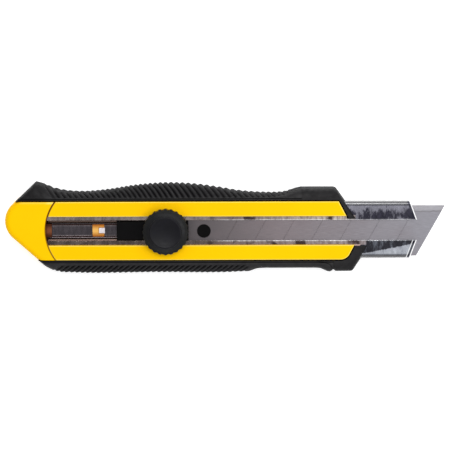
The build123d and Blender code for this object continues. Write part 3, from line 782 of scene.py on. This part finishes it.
def channel_lip_reflections(tree):
    """The folded lips' painted reflections: brownish behind, pale in the window, mirror-like patches in
    front.

    Returns the colour, and a share for the painted white highlights and pale patches, which are made matt.
    """
    x, y = along(tree, "X"), along(tree, "Y")
    across = away_from(tree, "Y", 0.0)
    streak_noise = noise(tree, 640, (1, 0.3, 0.3), detail=5, roughness=0.68)
    patch = noise(tree, 150, (1, 0.8, 0.8), detail=2)
    fine, coarse = combine(tree, "MULTIPLY", streak_noise, 0.6), combine(tree, "MULTIPLY", patch, 0.4)
    mottle = combine(tree, "ADD", fine, coarse)
    dark = spread(tree, mottle, 0.44, 0.56, 0, 1)
    upper_side = spread(tree, y, -0.1, 0.1, 0, 1)
    lower_side = spread(tree, y, -0.1, 0.1, 1, 0)
    before_wheel = spread(tree, x, 8, 22, 0, 1)

    # painted reflections behind the wheel, lighter on the upper lip, and in the window in front of it,
    # pinkish with dark smears and patches
    rear_light = blend_colors(tree, upper_side, (0.23, 0.18, 0.16), (0.46, 0.38, 0.35))
    rear_dark = blend_colors(tree, upper_side, (0.10, 0.075, 0.065), (0.21, 0.17, 0.155))
    rear = blend_colors(tree, dark, rear_light, rear_dark)
    window_dark_patches = spread(tree, patch, 0.53, 0.6, 0, 1)
    towards_nose = spread(tree, x, 20, 72, 0, 1)
    lip_end = blend_colors(tree, upper_side, (0.36, 0.31, 0.32), (0.64, 0.56, 0.50))
    pinkish = blend_colors(tree, towards_nose, (0.22, 0.165, 0.155), lip_end)
    painted_reflection = blend_colors(tree, spread(tree, streak_noise, 0.42, 0.6, 0, 0.75), pinkish, (0.14, 0.10, 0.095))
    window = blend_colors(tree, window_dark_patches, painted_reflection, (0.10, 0.065, 0.06))

    # painted reflections in front of the nose, where the lips mirror the room
    to_slot = combine(tree, "ADD", mottle, spread(tree, across, 11.5, 7.0, -0.1, 0.07))
    dark_patch = spread(tree, to_slot, 0.45, 0.53, 0, 1)
    upper = blend_colors(tree, dark_patch, (0.35, 0.345, 0.405), (0.052, 0.05, 0.07))
    glint_edge = spread(tree, x, 88, 112, 11.4, 6.6)
    ragged_edge = combine(tree, "ADD", glint_edge, combine(tree, "MULTIPLY", streak_noise, 1.6))
    beyond = combine(tree, "SUBTRACT", across, ragged_edge)
    darker_tone = spread(tree, mottle, 0.48, 0.6, 0, 0.7)
    bright = blend_colors(tree, darker_tone, (0.72, 0.75, 0.82), (0.22, 0.235, 0.29))
    lit = spread(tree, mottle, 0.41, 0.53, 1, 0)
    near_slot = blend_colors(tree, lit, (0.045, 0.045, 0.055), (0.26, 0.28, 0.33))
    lower = blend_colors(tree, spread(tree, beyond, -0.9, -0.5, 0, 1), near_slot, bright)
    front = blend_colors(tree, upper_side, lower, upper)
    # painted light on the fold: a dark line, then grey over the bend
    fold_line = stripe(tree, across, 12.0, 12.4, 0.25)
    lined = blend_colors(tree, all_of(tree, fold_line, 0.8), front, (0.10, 0.10, 0.12))
    folded = blend_colors(tree, spread(tree, across, 12.3, 12.6, 0, 1), lined, (0.165, 0.165, 0.17))

    # painted shadow and white glints at the lips' slanted front ends
    slanted_back = combine(tree, "SUBTRACT", combine(tree, "MULTIPLY", across, -LIP_SLANT), x)
    from_end = combine(tree, "ADD", slanted_back, LIP_END_X)
    beside_end = all_of(tree, stripe(tree, from_end, 0.5, 1.7, 0.3), 0.8)
    shadow = blend_colors(tree, beside_end, folded, (0.04, 0.04, 0.06))
    second = all_of(tree, stripe(tree, from_end, 1.7, 2.1, 0.2), lower_side, 0.8)
    edge = combine(tree, "MAXIMUM", spread(tree, from_end, 0.4, 0.6, 1, 0), second)
    ended = blend_colors(tree, edge, shadow, (1.0, 1.0, 1.0))

    # all of them put together
    behind = blend_colors(tree, before_wheel, rear, window)
    past_jaw = combine(tree, "SUBTRACT", x, spread(tree, y, -1, 1, 88.0, 82.5))
    in_window = all_of(tree, spread(tree, past_jaw, -0.5, 0.5, 1, 0), spread(tree, across, 7.2, 7.5, 1, 0))
    lips = blend_colors(tree, in_window, ended, behind)
    # painted highlight along the slot's edges behind the wheel
    slot_edge_glint = all_of(tree, spread(tree, across, 5.5, 5.3, 0, 1), spread(tree, mottle, 0.4, 0.6, 0.9, 0.1))
    finished = blend_colors(tree, all_of(tree, slot_edge_glint, before_wheel), lips, (0.95, 0.95, 0.98))
    # the places with painted white highlights and pale patches, to be made matt
    pale_window = all_of(tree, in_window, before_wheel, spread(tree, window_dark_patches, 0, 1, 0.8, 0))
    white = combine(tree, "MAXIMUM", all_of(tree, edge, spread(tree, x, 86, 89, 0, 1)), pale_window)
    return finished, white


def channel_steel():
    """Bright rolled steel with painted reflections on its lips, painted shade and highlights in the darker
    stepped groove down its middle, and a painted white highlight on the tab.
    """
    material, tree, surface = new_material("channel_steel")
    lips, white = channel_lip_reflections(tree)
    x, z = along(tree, "X"), along(tree, "Z")
    off = away_from(tree, "Y", GROOVE_Y)
    grain = noise(tree, 300, (0.2, 1, 1), detail=3)
    rolled = spread(tree, grain, 0.35, 0.65, 0, 1)
    # painted light in the stepped groove: shade on its floor, wall and foot, highlights on its rail and ledge
    floor = blend_colors(tree, rolled, (0.088, 0.076, 0.086), (0.108, 0.094, 0.104))
    rail = blend_colors(tree, stripe(tree, off, 2.15, 2.6), floor, (0.20, 0.172, 0.178))
    wall = blend_colors(tree, stripe(tree, off, 2.7, 3.25), rail, (0.035, 0.013, 0.010))
    ledge = blend_colors(tree, stripe(tree, off, 3.3, 3.95), wall, (0.12, 0.10, 0.105))
    foot = blend_colors(tree, spread(tree, off, 3.95, 4.1, 0, 1), ledge, (0.09, 0.06, 0.05))
    low_down = spread(tree, z, *GROOVE_Z, 0, 1)
    deep = blend_colors(tree, low_down, lips, foot)
    # painted highlight: the tab in the catch's window, white and matt
    tab = all_of(tree, stripe(tree, x, -43.9, -40.8), spread(tree, off, 1.5, 1.4, 0, 1), low_down)
    wire(tree, blend_colors(tree, tab, deep, (0.95, 0.88, 0.91)), surface.inputs["Base Color"])
    on_lips = spread(tree, z, *GROOVE_Z, 1, 0)
    matt = combine(tree, "MAXIMUM", all_of(tree, white, on_lips), tab)
    wire(tree, spread(tree, matt, 0, 1, 1.0, 0.15), surface.inputs["Metallic"])
    streak_noise = noise(tree, 640, (1, 0.3, 0.3), detail=3)
    wire(tree, spread(tree, streak_noise, 0.3, 0.7, 0.18, 0.3), surface.inputs["Roughness"])
    wire(tree, bump(tree, streak_noise, 0.015, 0.3, rounded_normal(tree, 0.15)), surface.inputs["Normal"])
    return material


def turned_metal(name, color, roughness):
    """Small turned or stamped parts with fine machining marks."""
    material, tree, surface = new_material(name)
    marks = noise(tree, 1600, (1, 1, 0.3), detail=3)
    darker_tone = tuple(0.6 * c for c in color)
    body = blend_colors(tree, spread(tree, marks, 0.4, 0.8, 0, 1), color, darker_tone)
    wire(tree, body, surface.inputs["Base Color"])
    surface.inputs["Metallic"].default_value = 1.0
    wire(tree, spread(tree, marks, 0.3, 0.7, roughness, roughness + 0.15), surface.inputs["Roughness"])
    wire(tree, bump(tree, marks, 0.01, 0.4, rounded_normal(tree, 0.08)), surface.inputs["Normal"])
    return material


def give(piece, material):
    """The piece's only finish."""
    piece.data.materials.clear()
    piece.data.materials.append(material)


rubber = soft_rubber("grip_rubber", (0.0064, 0.0058, 0.0066), (0.0104, 0.0096, 0.0104), 0.34, 0.65)
upper_piece = build_grip("upper_grip_ribbed", 1, upper_grip_shape())
lower_piece = build_grip("lower_grip_ribbed", -1, lower_grip_shape())
nose_piece = build_nose()
nose_black = soft_rubber("nose_rubber", (0.0054, 0.0048, 0.0056), (0.0080, 0.0073, 0.0080), 0.26, 0.3)
REBUILT = (
    (upper_piece, "upper_grip", "grip_rubber", rubber),
    (lower_piece, "lower_grip", "grip_rubber", rubber),
    (nose_piece, "nose_guard", "black_nose", nose_black),
)
for piece, node, slot, finish in REBUILT:
    give(piece, finish)
    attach(piece, "handle")
    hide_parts(node)

yellow = yellow_plastic()
slider_black = hard_black("slider_plastic", (0.0012, 0.0010, 0.0012), 0.5, 0.06, 0.2)
hub_black = hard_black("hub_plastic", (0.0026, 0.0027, 0.0036), 0.4, 0.25, 0.2)
cap_black = hard_black("cap_plastic", (0.0012, 0.0011, 0.0028), 0.36, 0.19, 0.2)
wheel_rubber = soft_rubber("wheel_rubber", (0.0030, 0.0032, 0.0032), (0.0052, 0.0055, 0.0054), 0.24, 0.0)
zinc = turned_metal("plated_steel", (0.62, 0.62, 0.64), 0.25)
brass = turned_metal("brass", (0.78, 0.56, 0.2), 0.22)

FINISHES = {
    "body_core": yellow,
    "end_cap": yellow,
    "blade_channel": channel_steel(),
    "blade": blade_steel(),
    "slider": slider_black,
    "lock_plate": zinc,
    "clamp_screw": zinc,
    "pressure_washer": zinc,
    "wave_washer": zinc,
    "thrust_washer": zinc,
    "retaining_ring": zinc,
    "knob_hub": hub_black,
    "knob_grip_ring": wheel_rubber,
    "threaded_insert": brass,
    "knob_cap": cap_black,
}
for node, finish in FINISHES.items():
    give(nodes[node], finish)


# ---------------------------------------------------------------- floor, light and camera
def build_floor():
    """A pale, softly glowing table top under the back face."""
    half = 1.5
    gap = 0.05 * MM
    mesh = bpy.data.meshes.new("floor")
    corners = [(-half, -half, 0), (half, -half, 0), (half, half, 0), (-half, half, 0)]
    mesh.from_pydata(corners, [], [(0, 1, 2, 3)])
    floor = bpy.data.objects.new("floor", mesh)
    floor.location.z = cad_box[0].z - gap
    bpy.context.scene.collection.objects.link(floor)
    material, tree, surface = new_material("floor_white")
    mottle = spread(tree, noise(tree, 40), 0.3, 0.7, 0.88, 0.9)
    tone = tree.nodes.new("ShaderNodeCombineColor")
    for socket in tone.inputs:
        wire(tree, mottle, socket)
    wire(tree, tone.outputs[0], surface.inputs["Base Color"])
    surface.inputs["Roughness"].default_value = 0.9
    surface.inputs["Specular IOR Level"].default_value = 0.0
    surface.inputs["Emission Color"].default_value = (1, 1, 1, 1)
    surface.inputs["Emission Strength"].default_value = 0.45
    give(floor, material)


LIGHT_AIM = Vector((0.02, 0, 0.01))  # near the middle of the knife


def soft_light(name, location, size, radiance):
    """A square soft box that faces the knife, and looks equally bright whatever its size."""
    data = bpy.data.lights.new(name, "AREA")
    data.size = size
    data.energy = radiance * math.pi * size * size
    light = bpy.data.objects.new(name, data)
    light.location = location
    light.rotation_euler = (LIGHT_AIM - light.location).to_track_quat("-Z", "Y").to_euler()
    bpy.context.scene.collection.objects.link(light)


build_floor()
soft_light("light_right", (0.52, 0.05, 0.58), 0.5, 2.4)
soft_light("light_above", (0.05, 0.75, 0.7), 0.8, 1.1)
soft_light("light_below", (-0.05, -0.75, 0.65), 0.8, 1.05)
soft_light("light_front", (0.02, 0.26, 0.87), 0.4, 6.2)

world = bpy.data.worlds.new("studio")
world.use_nodes = True
world.node_tree.nodes["Background"].inputs["Color"].default_value = (0.97, 0.98, 1.0, 1)
world.node_tree.nodes["Background"].inputs["Strength"].default_value = 0.4
bpy.context.scene.world = world
bpy.context.scene.view_settings.view_transform = "Standard"

CAMERA_TILT = 8.5  # degrees from straight above, towards +Y
CAMERA_DISTANCE = 0.829
CAMERA_ROLL = -0.16  # degrees
CAMERA_TARGET = Vector((0.01896, 0.00266, 0.016))
CAMERA_LENS = 135
camera_data = bpy.data.cameras.new("camera")
camera_data.lens = CAMERA_LENS
camera = bpy.data.objects.new("camera", camera_data)
tilt = math.radians(CAMERA_TILT)
camera.location = CAMERA_TARGET + CAMERA_DISTANCE * Vector((0, math.sin(tilt), math.cos(tilt)))
camera.rotation_euler = (-tilt, 0, math.radians(CAMERA_ROLL))
bpy.context.scene.collection.objects.link(camera)
bpy.context.scene.camera = camera
